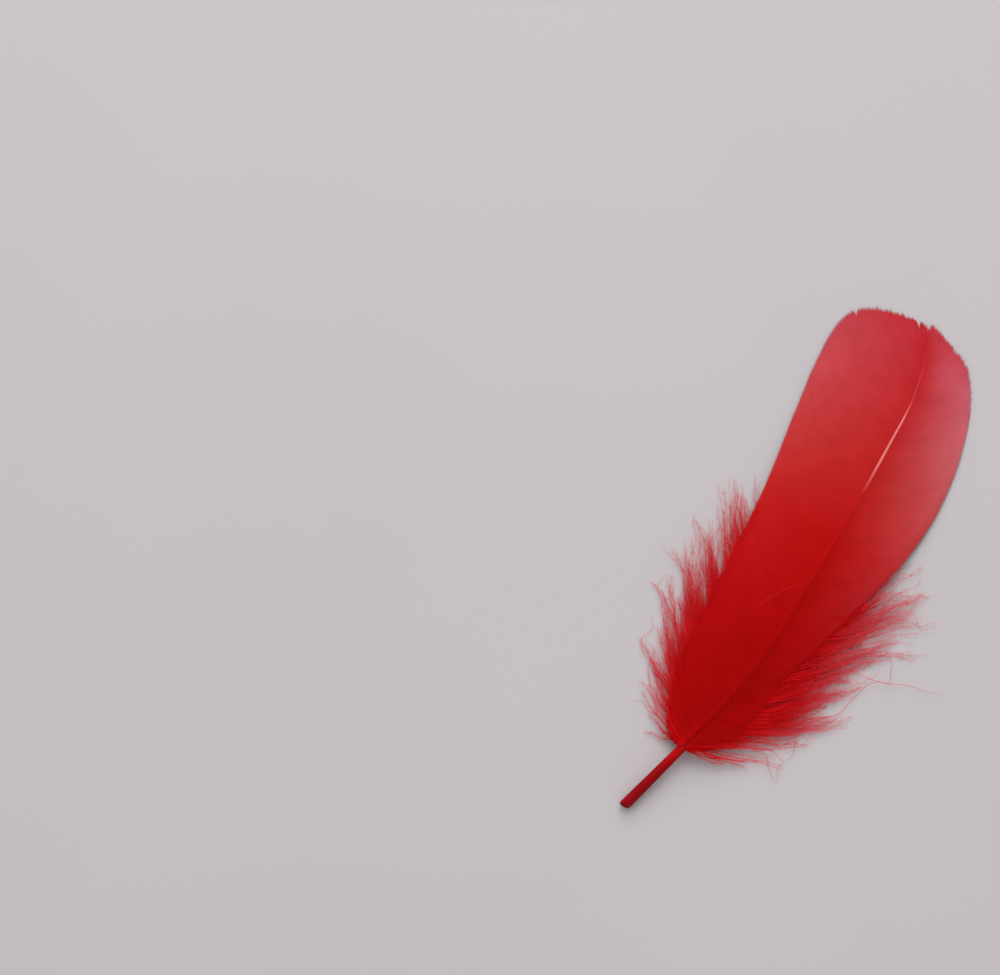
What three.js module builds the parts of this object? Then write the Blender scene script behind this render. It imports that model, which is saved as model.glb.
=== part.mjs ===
// A dyed goose feather lying on a flat surface with its outer side up.
// Millimetres, +Z up. +Y runs along the feather from the cut quill to the tip, and
// +X is to the right of the shaft as seen from above.
// Stations and plan points are measured from the middle of the quill's cut end.
// The finished group is moved so that its origin is the middle of its footprint.

import * as THREE from 'three';

// Clear space between the shaft and the vane or down beside it.
const GAP = 0.3;

// Thickness of a vane, and of the fluff at the tips of the down.
const VANE_THICKNESS = 0.7;
const DOWN_TIP_HEIGHT = 0.8;

// Height of the down beside the shaft, as a share of the vane's height there, and how
// quickly it thins out towards its tips.
const DOWN_ROOT_SHARE = 0.65;
const DOWN_FALL_POWER = 3;

// How high on the shaft the vanes join it, as a share of the shaft's radius.
const VANE_SEAT = 0.35;

// Share of a vane's fall from the shaft to its edge that is straight, like a roof.
const ROOF_SHARE = 0.55;

// How far a barb bows away from the straight line to its tip, as a share of its length.
const BARB_BOW = 0.07;

// The shaft: station, sideways place, height of its middle, radius.
const SHAFT = [
  [0, 0, 1.6, 1.5],
  [20, 4.6, 3.4, 1.25],
  [35, 7.9, 5.3, 1.05],
  [50, 9.9, 6.9, 0.9],
  [75, 10.3, 8.4, 0.72],
  [100, 9.5, 8.0, 0.58],
  [118, 8.7, 6.5, 0.45],
  [128, 8.1, 5, 0.36],
  [135, 6.7, 3.8, 0.3],
  [140.5, 5.3, 2.7, 0.26],
  [145.5, 2.3, 1.7, 0.22],
];

// Each vane: station of a barb's root on the shaft, then the place and height of its tip.
const LEFT_VANE = [
  [21.5, -4.8, 29.5, 3.2],
  [25, -7, 37.5, 3.2],
  [31, -8.5, 46.5, 3.2],
  [41, -9.8, 58, 3.1],
  [55, -11.2, 74, 2.6],
  [70, -13.2, 92, 1.7],
  [85, -16.2, 109, 1],
  [98, -18.4, 123, 0.65],
  [110, -19.3, 133.5, 0.5],
  [120, -18, 140.2, 0.45],
  [128, -14.6, 143.8, 0.45],
  [135, -9.8, 146, 0.45],
  [140.5, -4.6, 147.3, 0.45],
  [145, 1, 147.9, 0.45],
];
const RIGHT_VANE = [
  [21.5, 14, 25.5, 3.4],
  [25, 16.8, 33, 3.4],
  [30, 17.9, 41.5, 3.4],
  [39, 18.7, 52.5, 3.2],
  [50, 21.8, 62.5, 2.9],
  [62, 24.9, 75.5, 2.5],
  [74, 28.2, 89, 2],
  [85, 29.5, 101.5, 1.5],
  [97, 28.9, 113.5, 0.9],
  [108, 26.4, 125, 0.6],
  [119, 22.4, 135.5, 0.5],
  [126, 18.8, 141.2, 0.45],
  [130, 15.8, 144.4, 0.45],
  [136, 10.8, 146.5, 0.45],
  [141, 6.4, 147.9, 0.45],
  [145.3, 2.2, 149.1, 0.45],
];

// The down below each vane: station of a barb's root on the shaft, then the place of its tip.
const LEFT_DOWN = [
  [21, -9, 21.5],
  [23, -16, 29],
  [27, -21.5, 40],
  [33, -25, 53],
  [40, -25.5, 66],
  [48, -22.5, 79],
  [58, -17, 92],
];
const RIGHT_DOWN = [
  [21, 23.5, 23.5],
  [23, 32.5, 28],
  [26, 38.5, 40],
  [30, 43.5, 53],
  [35, 50, 63.5],
  [40, 50.5, 71],
  [46, 46, 80],
  [53, 42, 90],
  [62, 34, 99],
];

// Fineness of the meshes.
const SHAFT_STEPS = 44;
const SHAFT_SIDES = 12;
const VANE_ROWS = 50;
const VANE_COLUMNS = 10;
const DOWN_ROWS = 22;
const DOWN_COLUMNS = 12;

// Side of the shaft: -1 is left and 1 is right.
const LEFT = -1;
const RIGHT = 1;

// Smooth value of one column of a table at a key in its first column.
function valueAt(rows, key, column) {
  const last = rows.length - 1;
  let i = 0;
  while (i < last - 1 && key > rows[i + 1][0]) {
    i += 1;
  }
  const slope = (k) => {
    const before = rows[Math.max(k - 1, 0)];
    const after = rows[Math.min(k + 1, last)];
    return (after[column] - before[column]) / (after[0] - before[0]);
  };
  const low = rows[i];
  const high = rows[i + 1];
  const span = high[0] - low[0];
  const t = (key - low[0]) / span;
  const start = low[column] * (1 + 2 * t) * (1 - t) ** 2 + slope(i) * span * t * (1 - t) ** 2;
  const end = high[column] * (3 - 2 * t) * t ** 2 - slope(i + 1) * span * (1 - t) * t ** 2;
  return start + end;
}

function shaftAt(station) {
  return {
    centre: new THREE.Vector3(valueAt(SHAFT, station, 1), station, valueAt(SHAFT, station, 2)),
    radius: valueAt(SHAFT, station, 3),
  };
}

// Height at which a vane joins the shaft.
function seatHeight(station) {
  const { centre, radius } = shaftAt(station);
  return centre.z + VANE_SEAT * radius;
}

// One row of plan points along a barb, from beside the shaft to its tip.
function barbPlan(rows, station, side, columns) {
  const { centre, radius } = shaftAt(station);
  const root = new THREE.Vector2(centre.x + side * (radius + GAP), centre.y);
  const tip = new THREE.Vector2(valueAt(rows, station, 1), valueAt(rows, station, 2));
  const reach = tip.clone().sub(root);
  const outward = new THREE.Vector2(side * reach.y, -side * reach.x).multiplyScalar(2 * BARB_BOW);
  const bend = root.clone().add(tip).multiplyScalar(0.5).add(outward);
  const curve = new THREE.QuadraticBezierCurve(root, bend, tip);
  return curve.getPoints(columns);
}

// The stations of the first and last barb of a table and evenly between them.
function stationsOf(rows, count) {
  const first = rows[0][0];
  const last = rows[rows.length - 1][0];
  return Array.from({ length: count + 1 }, (_, i) => first + ((last - first) * i) / count);
}

// A closed body between an upper and a lower grid of points of the same layout.
function closedSheet(upper, lower) {
  const rowCount = upper.length;
  const columnCount = upper[0].length;
  const points = [...upper.flat(), ...lower.flat()];
  const up = (i, j) => i * columnCount + j;
  const low = (i, j) => rowCount * columnCount + up(i, j);
  const index = [];
  const quad = (a, b, c, d) => index.push(a, b, c, a, c, d);
  for (let i = 0; i < rowCount - 1; i += 1) {
    for (let j = 0; j < columnCount - 1; j += 1) {
      quad(up(i, j), up(i, j + 1), up(i + 1, j + 1), up(i + 1, j));
      quad(low(i, j), low(i + 1, j), low(i + 1, j + 1), low(i, j + 1));
    }
    const edge = columnCount - 1;
    quad(up(i, 0), up(i + 1, 0), low(i + 1, 0), low(i, 0));
    quad(up(i + 1, edge), up(i, edge), low(i, edge), low(i + 1, edge));
  }
  for (let j = 0; j < columnCount - 1; j += 1) {
    const end = rowCount - 1;
    quad(up(0, j + 1), up(0, j), low(0, j), low(0, j + 1));
    quad(up(end, j), up(end, j + 1), low(end, j + 1), low(end, j));
  }
  return facingOut(points, index);
}

// A geometry of the given triangles, turned over if they enclose a negative volume.
function facingOut(points, index) {
  let volume = 0;
  for (let k = 0; k < index.length; k += 3) {
    const [a, b, c] = [points[index[k]], points[index[k + 1]], points[index[k + 2]]];
    volume += a.dot(b.clone().cross(c));
  }
  const geometry = new THREE.BufferGeometry().setFromPoints(points);
  geometry.setIndex(volume > 0 ? index : index.reverse());
  geometry.computeVertexNormals();
  return geometry;
}

// The bare quill and the shaft between the vanes: round rings along the centre line.
function shaftGeometry() {
  const points = [];
  const index = [];
  const first = SHAFT[0][0];
  const last = SHAFT[SHAFT.length - 1][0];
  for (let i = 0; i <= SHAFT_STEPS; i += 1) {
    const { centre, radius } = shaftAt(first + ((last - first) * i) / SHAFT_STEPS);
    for (let k = 0; k < SHAFT_SIDES; k += 1) {
      const angle = (2 * Math.PI * k) / SHAFT_SIDES;
      const offset = new THREE.Vector3(Math.cos(angle), 0, Math.sin(angle)).multiplyScalar(radius);
      points.push(centre.clone().add(offset));
    }
  }
  for (let i = 0; i < SHAFT_STEPS; i += 1) {
    for (let k = 0; k < SHAFT_SIDES; k += 1) {
      const here = i * SHAFT_SIDES;
      const next = (k + 1) % SHAFT_SIDES;
      index.push(here + k, here + SHAFT_SIDES + next, here + next);
      index.push(here + k, here + SHAFT_SIDES + k, here + SHAFT_SIDES + next);
    }
  }
  const end = SHAFT_STEPS * SHAFT_SIDES;
  for (let k = 1; k < SHAFT_SIDES - 1; k += 1) {
    index.push(0, k, k + 1);
    index.push(end, end + k + 1, end + k);
  }
  return facingOut(points, index);
}

// A vane: one thin sheet that falls from the shaft to its edge, a little steeper at the edge.
function vaneGeometry(rows, side) {
  const upper = [];
  const lower = [];
  for (const station of stationsOf(rows, VANE_ROWS)) {
    const seat = seatHeight(station);
    const fall = seat - valueAt(rows, station, 3);
    const plan = barbPlan(rows, station, side, VANE_COLUMNS);
    const middle = plan.map((point, j) => {
      const share = j / VANE_COLUMNS;
      const drop = fall * (ROOF_SHARE * share + (1 - ROOF_SHARE) * share ** 2);
      return new THREE.Vector3(point.x, point.y, seat - drop);
    });
    const half = new THREE.Vector3(0, 0, VANE_THICKNESS / 2);
    upper.push(middle.map((point) => point.clone().add(half)));
    lower.push(middle.map((point) => point.clone().sub(half)));
  }
  return closedSheet(upper, lower);
}

// The down of one side: a low pad with a flat underside that reaches the tips of the down.
function downGeometry(rows, side) {
  const upper = [];
  const lower = [];
  for (const station of stationsOf(rows, DOWN_ROWS)) {
    const rootHeight = DOWN_ROOT_SHARE * seatHeight(station);
    const plan = barbPlan(rows, station, side, DOWN_COLUMNS);
    upper.push(plan.map((point, j) => {
      const left = (1 - j / DOWN_COLUMNS) ** DOWN_FALL_POWER;
      const height = DOWN_TIP_HEIGHT + (rootHeight - DOWN_TIP_HEIGHT) * left;
      return new THREE.Vector3(point.x, point.y, height);
    }));
    lower.push(plan.map((point) => new THREE.Vector3(point.x, point.y, 0)));
  }
  return closedSheet(upper, lower);
}

function horn() {
  return new THREE.MeshStandardMaterial({ color: 0x98101a, roughness: 0.35, metalness: 0 });
}

function vane() {
  return new THREE.MeshStandardMaterial({ color: 0xbe3238, roughness: 0.7, metalness: 0 });
}

function down() {
  return new THREE.MeshStandardMaterial({ color: 0xa50c12, roughness: 0.9, metalness: 0 });
}

function named(name, geometry, material) {
  const mesh = new THREE.Mesh(geometry, material);
  mesh.name = name;
  return mesh;
}

const feather = new THREE.Group();
feather.add(named('shaft', shaftGeometry(), horn()));
feather.add(named('left_vane', vaneGeometry(LEFT_VANE, LEFT), vane()));
feather.add(named('right_vane', vaneGeometry(RIGHT_VANE, RIGHT), vane()));
feather.add(named('left_down', downGeometry(LEFT_DOWN, LEFT), down()));
feather.add(named('right_down', downGeometry(RIGHT_DOWN, RIGHT), down()));

// The origin goes to the middle of the footprint, on the surface that the feather lies on.
const footprint = new THREE.Box3().setFromObject(feather);
const middle = footprint.getCenter(new THREE.Vector3());
feather.position.set(-middle.x, -middle.y, -footprint.min.z);

export default feather;
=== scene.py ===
import math

import bpy
import numpy as np
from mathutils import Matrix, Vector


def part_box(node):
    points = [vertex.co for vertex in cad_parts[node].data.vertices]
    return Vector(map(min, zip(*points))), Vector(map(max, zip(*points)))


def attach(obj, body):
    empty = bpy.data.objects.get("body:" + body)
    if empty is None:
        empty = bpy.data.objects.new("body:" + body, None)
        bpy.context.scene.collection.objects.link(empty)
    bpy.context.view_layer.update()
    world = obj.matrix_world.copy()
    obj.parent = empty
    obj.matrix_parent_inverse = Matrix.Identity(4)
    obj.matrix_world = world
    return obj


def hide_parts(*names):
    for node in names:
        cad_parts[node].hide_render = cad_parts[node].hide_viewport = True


# A dyed goose feather lying on a pale surface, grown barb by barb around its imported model.
# The tables are in millimetres. Stations and plan points are measured from the middle of
# the quill's cut end: +Y runs to the tip, and +X is to the right of the shaft.

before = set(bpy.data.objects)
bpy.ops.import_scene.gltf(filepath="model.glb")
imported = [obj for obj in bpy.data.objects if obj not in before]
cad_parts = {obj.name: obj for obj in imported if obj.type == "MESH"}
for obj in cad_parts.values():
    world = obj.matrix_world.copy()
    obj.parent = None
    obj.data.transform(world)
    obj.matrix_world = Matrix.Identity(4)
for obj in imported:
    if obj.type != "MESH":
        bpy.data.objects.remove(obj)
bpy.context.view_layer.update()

MM = 0.001
LEFT = -1
RIGHT = 1

# The colours along the vanes and along the shaft are placed by shares of these lengths.
VANE_SPAN = 150
SHAFT_SPAN = 145

# The shaft: station, sideways place, height of its middle, radius.
SHAFT = [
    [0, 0, 1.6, 1.5],
    [20, 4.6, 3.4, 1.25],
    [35, 7.9, 5.3, 1.05],
    [50, 9.9, 6.9, 0.9],
    [75, 10.3, 8.4, 0.72],
    [100, 9.5, 8.0, 0.58],
    [118, 8.7, 6.5, 0.45],
    [128, 8.1, 5, 0.36],
    [135, 6.7, 3.8, 0.3],
    [140.5, 5.3, 2.7, 0.26],
    [145.5, 2.3, 1.7, 0.22],
]

# Each vane: station of a barb's root on the shaft, then the place and height of its tip.
LEFT_VANE = [
    [21.5, -4.8, 29.5, 2.2],
    [25, -7, 37.5, 2.8],
    [31, -8.5, 46.5, 3.2],
    [41, -9.8, 58, 3.1],
    [55, -11.2, 74, 2.6],
    [70, -13.2, 92, 1.7],
    [85, -16.2, 109, 1],
    [98, -18.4, 123, 0.65],
    [110, -19.3, 133.5, 0.5],
    [120, -18, 140.2, 0.45],
    [128, -14.6, 143.8, 0.45],
    [135, -9.8, 146, 0.45],
    [140.5, -4.6, 147.3, 0.45],
    [145, 1, 147.9, 0.45],
    [145.5, 1.5, 147.5, 0.6],
]
RIGHT_VANE = [
    [21.5, 13, 26.2, 1.9],
    [25, 16.4, 33.4, 2.4],
    [30, 17.9, 41.5, 2.8],
    [39, 18.7, 52.5, 3],
    [50, 21.8, 62.5, 2.9],
    [62, 24.9, 75.5, 2.6],
    [74, 28.2, 89, 2.1],
    [85, 29.5, 101.5, 1.5],
    [97, 28.9, 113.5, 0.9],
    [108, 26.4, 125, 0.6],
    [119, 22.4, 135.5, 0.5],
    [126, 18.8, 141.2, 0.45],
    [130, 15.8, 144.4, 0.45],
    [136, 10.8, 146.5, 0.45],
    [141, 6.4, 147.9, 0.45],
    [145, 2.3, 149, 0.45],
    [145.5, 1.6, 147.7, 0.6],
]

# Where the thick part of the down ends: station of a strand's root, and that place.
LEFT_MASS = [
    [21, -2.4, 26],
    [23, -6.2, 32.5],
    [25.5, -9.5, 38.5],
    [28.5, -11.6, 44.5],
    [32, -13, 50.5],
    [36, -14.2, 57],
    [40, -15.2, 63],
    [46, -16, 70.5],
    [52, -16, 77.5],
    [58, -15.5, 84],
]
RIGHT_MASS = [
    [21, 10.6, 25.4],
    [23, 16.2, 31],
    [25.5, 21, 36.6],
    [28, 25, 41.2],
    [31, 27.2, 46.6],
    [34, 27.6, 51.6],
    [38, 26, 57.4],
    [42, 24.6, 62.8],
    [46, 25.2, 68.6],
    [50, 26.5, 74.6],
    [54, 27.2, 80.4],
    [58, 27.8, 86],
]

# The tufts that the longest hairs of the down end in: station of its root, place of its
# tip, how far it droops away from the feather's tip at its end, and its number of hairs.
LEFT_TUFTS = [
    [21.5, -9.5, 24.5, 0.1, 3],
    [22.8, -14.5, 29.5, 0.3, 6],
    [25, -13.5, 36.5, -0.2, 10],
    [27.5, -20.5, 40, 0.3, 12],
    [30, -17.4, 47.5, -0.1, 15],
    [33, -25, 52.5, 0.5, 15],
    [35.5, -19.6, 59.5, 0.1, 16],
    [38.5, -26, 64, 0.6, 16],
    [41.5, -21, 70.5, 0.3, 16],
    [44.5, -25, 73.5, 0.6, 16],
    [48.5, -21.2, 80, 0.3, 15],
    [51.5, -22.4, 83.2, 0.6, 13],
    [54, -18.4, 88, 0.3, 12],
    [57.5, -17.8, 91.4, 0.5, 10],
]
RIGHT_TUFTS = [
    [21.3, 23.5, 26.6, 0.25, 3],
    [22.8, 29, 30.6, 0.2, 5],
    [26, 34, 40.2, 0.15, 10],
    [28, 29.5, 45.5, 0.2, 11],
    [29.5, 39.4, 51.1, 0, 11],
    [31, 35.2, 50.7, -0.4, 14],
    [32, 33.5, 55.5, 0.35, 16],
    [33, 31, 53, 0.3, 19],
    [34.5, 37.1, 59, 0.1, 16],
    [36, 34.5, 59.8, 0.5, 16],
    [38, 33, 61.5, 0.6, 14],
    [39.5, 38, 66, 0.5, 16],
    [42, 38.8, 70.5, 0.4, 17],
    [44, 45.7, 72.9, 0.7, 13],
    [46, 43.7, 76, 0.65, 13],
    [49.5, 43.5, 84.4, 0.42, 17],
    [51.5, 38.3, 84.3, 0.3, 17],
    [54, 36.5, 86.2, 0.2, 18],
    [56.5, 40, 91.2, 0.15, 14],
    [58.5, 35.8, 93.8, 0.15, 12],
    [61, 32.8, 95, 0.1, 10],
]

# Loose hairs that are bent or caught on each other: their plan points.
LEFT_HAIRS = [
    [(-10, 33.5), (-13.5, 35.5), (-16.4, 36.2), (-19, 39.4), (-18, 43.2), (-20.8, 46)],
    [(-13, 51), (-17, 52.2), (-20.6, 51.4), (-22.8, 53.6), (-22.2, 57.4)],
    [(-14, 62), (-17.4, 65), (-19.6, 69), (-23.4, 71.6), (-24.6, 75)],
    [(-4, 24.5), (-7.4, 24.2), (-10.2, 25.4), (-12.4, 24.4)],
]
RIGHT_HAIRS = [
    [(33.8, 64.9), (36.9, 67.2), (39.5, 68.5), (40.7, 66.1), (42, 63.5), (40, 62.3)],
    [(26.9, 43.7), (31.3, 46.5), (34.6, 49.1), (35.9, 54), (36.9, 58.3), (37.4, 60.4),
     (39.8, 62.5), (44.7, 63.7)],
    [(33.6, 61.1), (37.2, 61.8), (41.1, 63), (45.8, 65.3), (51.1, 66.7), (55.4, 68.2)],
    [(26.2, 39.9), (29.8, 41.5), (33.1, 43.6), (35.6, 46.1), (39.2, 51.1)],
    [(18.8, 29.5), (21.2, 31.6), (24.2, 32.2), (26.8, 32), (29.3, 31.4), (28.7, 29.5),
     (29.8, 27.7), (30.7, 25.8)],
    [(22.4, 30.2), (24.7, 30.4), (26.6, 28.5), (28.5, 26.9), (30.7, 25.8)],
    [(27.5, 40.8), (28.7, 38.4), (29.8, 36), (30.4, 33.6), (29.5, 32.1), (28.3, 31.7)],
    [(20.6, 29.1), (23.7, 31.6), (26.7, 34.1), (29.9, 36.4), (33.4, 39.8)],
    [(11.2, 23.5), (15.1, 23.2), (18.3, 24), (20.9, 24.7), (23.3, 24.9)],
]

# The loose hairs' heights, how far they rise and sink on their way, the lowest they get, half
# their width, how much thinner their ends are, how pale they are, and rings along each.
LEFT_HAIR_HEIGHTS = [1.2, 1.5, 1.4, 1.1]
RIGHT_HAIR_HEIGHTS = [1.5, 1.2, 1.3, 1.1, 1.4, 1.2, 1.5, 1.1, 0.9]
LOOSE_HAIR_RISE = 0.3
LOOSE_HAIR_LOWEST = 0.15
LOOSE_HAIR_WIDTH = 0.07
LOOSE_HAIR_TAPER = 0.7
LOOSE_HAIR_PALE = 0.8
LOOSE_HAIR_RINGS = 48

# A stray fibre that lies on the left vane, its height there, half its width and its paleness.
FIBRE = [(1.8, 62.9), (3.3, 65.9), (5, 69.2), (6.7, 71.4), (8.9, 73.7)]
FIBRE_HEIGHT = 8.9
FIBRE_WIDTH = 0.045
FIBRE_PALE = 0.5

# Slits in the left vane's edge: station, opening, depth, and how far away from it barbs are
# pushed aside. Notches there: station, depth, half width. The right edge's curl: where it
# starts and ends along the feather, and how far it drops.
LEFT_SLITS = [(123.2, 0.45, 2, 0.8), (143.3, 1.1, 2.8, 0.7)]
LEFT_NOTCHES = [(123.2, 1.1, 1.1)]
RIGHT_CURL = (91, 123, 0.35)

# How pale the vanes' edges are, below and at the tip, and where that changes. Both edges are
# paler in their own tone; the right one's greater paleness is painted light, standing in for
# light through the thin vane and evening out the shade of its slope away from the window.
LEFT_PALE = (0.25, 0.37)
RIGHT_PALE = (1, 1)
PALE_STATIONS = (85, 125)

# How high on the shaft the vanes join it, as a share of the shaft's radius, and how far in.
# Below the bare part of the shaft the barbs join it higher, and rise over its shoulders.
VANE_SEAT = 0.35
ROOT_INSET = 0.5
COVER_SEAT = 0.85
COVER_RISE = 0.22
COVER_INSET = 0.15
SHOULDER = 1.3
BARE_STATIONS = (90, 112)

# Share of a vane's fall from the shaft to its edge that is straight, like a roof.
ROOF_SHARE = 0.55

# How far a barb bows away from the straight line to its tip, as a share of its length.
LEFT_BOW = 0.07
RIGHT_BOW = 0.1
DOWN_BOW = 0.07

# Barbs of a vane, and rings along each of them.
VANE_BARBS = 342
BARB_RINGS = 23

# Strands in the thick part of a side's down, how many of them wave together in a lock, and
# rings along each strand and each long hair.
MASS_STRANDS = 560
LOCK_STRANDS = 6
STRAND_RINGS = 16
HAIR_RINGS = 32

# The station where the fluff on the lowest barbs of the vane ends.
FOOT_END = 66

# Barbules on a side: on the thick down, on the lowest barbs of the vane and at their ends,
# and on the hairs.
MASS_BARBULES = 36000
VANE_BARBULES = 10000
EDGE_BARBULES = 2500
HAIR_BARBULES = {LEFT: 24000, RIGHT: 35000}

# Their fluff: the power that gathers it on the lowest strands, where 1 spreads it evenly, the
# shares of a strand's length where it begins on the lowest strands and on the others and
# where it ends, a barbule's least and greatest length, and half its width.
MASS_FLUFF = (1, (0.05, 0.48, 1), (0.7, 2), 0.026)
VANE_FLUFF = (1.9, (0, 0, 0.98), (0.7, 2.2), 0.024)
EDGE_FLUFF = (1.2, (0.84, 0.84, 1), (1.6, 4), 0.024)
HAIR_FLUFF = (1, (0.3, 0.46, 0.98), (0.7, 2.3), 0.024)


def smooth(rows, keys):
    """Smooth values of a table's other columns at keys in its first column."""
    rows = np.asarray(rows, float)
    keys = np.atleast_1d(np.asarray(keys, float))
    x = rows[:, 0]
    values = rows[:, 1:]
    slope = np.empty_like(values)
    slope[1:-1] = (values[2:] - values[:-2]) / (x[2:] - x[:-2])[:, None]
    slope[0] = (values[1] - values[0]) / (x[1] - x[0])
    slope[-1] = (values[-1] - values[-2]) / (x[-1] - x[-2])
    i = np.clip(np.searchsorted(x, keys) - 1, 0, len(x) - 2)
    span = (x[i + 1] - x[i])[:, None]
    t = (keys - x[i])[:, None] / span
    start = values[i] * (1 + 2 * t) * (1 - t) ** 2 + slope[i] * span * t * (1 - t) ** 2
    end = values[i + 1] * (3 - 2 * t) * t ** 2 - slope[i + 1] * span * (1 - t) * t ** 2
    return start + end


def ease(low, high, value):
    """0 below low, 1 above high, and smooth between them."""
    t = np.clip((value - low) / (high - low), 0, 1)
    return t * t * (3 - 2 * t)


def unit(vectors):
    return vectors / np.maximum(np.linalg.norm(vectors, axis=-1, keepdims=True), 1e-9)


def shaft_at(stations):
    """Middles and radii of the shaft."""
    values = smooth(SHAFT, stations)
    centre = np.stack([values[:, 0], np.atleast_1d(stations), values[:, 1]], 1)
    return centre, values[:, 2]


def bowed(roots, tips, side, bow, shares):
    """Plan points of barbs that bow from their roots to their tips, (barbs, rings, 2)."""
    reach = tips - roots
    outward = np.stack([side * reach[:, 1], -side * reach[:, 0]], 1) * 2 * bow
    bend = ((roots + tips) / 2 + outward)[:, None]
    t = np.atleast_2d(shares)[..., None]
    return (1 - t) ** 2 * roots[:, None] + 2 * t * (1 - t) * bend + t ** 2 * tips[:, None]


def tube_faces(count, inward=False):
    """Sides and end faces of closed tubes with count = (tubes, rings, corners)."""
    index = np.arange(count[0] * count[1] * count[2]).reshape(count)
    turned = np.roll(index, -1, axis=2)
    corners = [index[:, :-1], turned[:, :-1], turned[:, 1:], index[:, 1:]]
    ends = np.concatenate([index[:, 0, ::-1], index[:, -1]])
    if inward:
        corners = corners[:1] + corners[:0:-1]
        ends = ends[:, ::-1]
    return [np.stack(corners, -1).reshape(-1, 4), ends]


def strips(lines, wide, thick, section, lean=0):
    """Closed strips along lines of points, (strips, rings, 3).

    wide and thick are half sizes at each ring. The section lists a ring's corners as shares
    of them, anticlockwise seen from the tip. lean is the rise of a strip's left edge."""
    tangent = unit(np.gradient(lines, axis=1))
    left = unit(np.cross([0, 0, 1], tangent))
    up = np.cross(tangent, left)
    section = np.asarray(section, float)
    sideways = wide[:, :, None] * section[:, 0]
    upward = thick[:, :, None] * section[:, 1] + lean * sideways
    points = lines[:, :, None] + left[:, :, None] * sideways[..., None]
    points = points + up[:, :, None] * upward[..., None]
    return points, tube_faces(points.shape[:3])


def spikes(starts, ends, wide):
    """Closed, flat, three-sided spikes from starts to ends. wide is half their width."""
    tangent = unit(ends - starts)
    left = unit(np.cross([0, 0, 1], tangent)) * wide[:, None]
    up = np.cross(tangent, left)
    corners = [starts + left - up / 8, starts + up / 4, starts - left - up / 8, ends]
    points = np.stack(corners, 1)
    a, b, c, tip = np.arange(len(starts) * 4).reshape(-1, 4).T
    faces = np.concatenate([
        np.stack([c, b, a], 1),
        np.stack([a, b, tip], 1),
        np.stack([b, c, tip], 1),
        np.stack([c, a, tip], 1),
    ])
    return points, [faces]


def spread(values, points):
    """One value for each corner, from one for each strip or each ring."""
    values = np.asarray(values, float)
    while values.ndim < points.ndim - 1:
        values = values[..., None]
    return np.broadcast_to(values, points.shape[:-1]).ravel()


def plan_origin():
    """The frame's origin in the tables' plan, found from the shaft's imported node."""
    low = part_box("shaft")[0]
    end_radius = SHAFT[0][3]
    return np.array([-end_radius - low.x / MM, -low.y / MM, 0])


ORIGIN = plan_origin()


def add_piece(name, node, points, faces, values, material, soft=False):
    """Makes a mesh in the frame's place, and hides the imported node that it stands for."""
    mesh = bpy.data.meshes.new(name)
    flat = (points.reshape(-1, 3) - ORIGIN) * MM
    mesh.vertices.add(len(flat))
    mesh.vertices.foreach_set("co", flat.astype(np.float32).ravel())
    corners = np.concatenate([group.ravel() for group in faces])
    sizes = np.concatenate([np.full(len(group), group.shape[1]) for group in faces])
    mesh.loops.add(len(corners))
    mesh.loops.foreach_set("vertex_index", corners.astype(np.int32))
    mesh.polygons.add(len(sizes))
    mesh.polygons.foreach_set("loop_start", (np.cumsum(sizes) - sizes).astype(np.int32))
    mesh.update(calc_edges=True)
    mesh.validate()
    mesh.polygons.foreach_set("use_smooth", np.full(len(mesh.polygons), soft))
    for key, value in values.items():
        attribute = mesh.attributes.new(key, "FLOAT", "POINT")
        attribute.data.foreach_set("value", np.asarray(value, np.float32))
    mesh.materials.append(material)
    piece = bpy.data.objects.new(name, mesh)
    bpy.context.scene.collection.objects.link(piece)
    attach(piece, "root")
    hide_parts(node)


def linear(red, green, blue):
    """A colour of 0 to 255 as it looks, turned into the shader's linear one."""
    def one(value):
        share = value / 255
        return share / 12.92 if share <= 0.04045 else ((share + 0.055) / 1.055) ** 2.4
    return (one(red), one(green), one(blue), 1)


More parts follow.
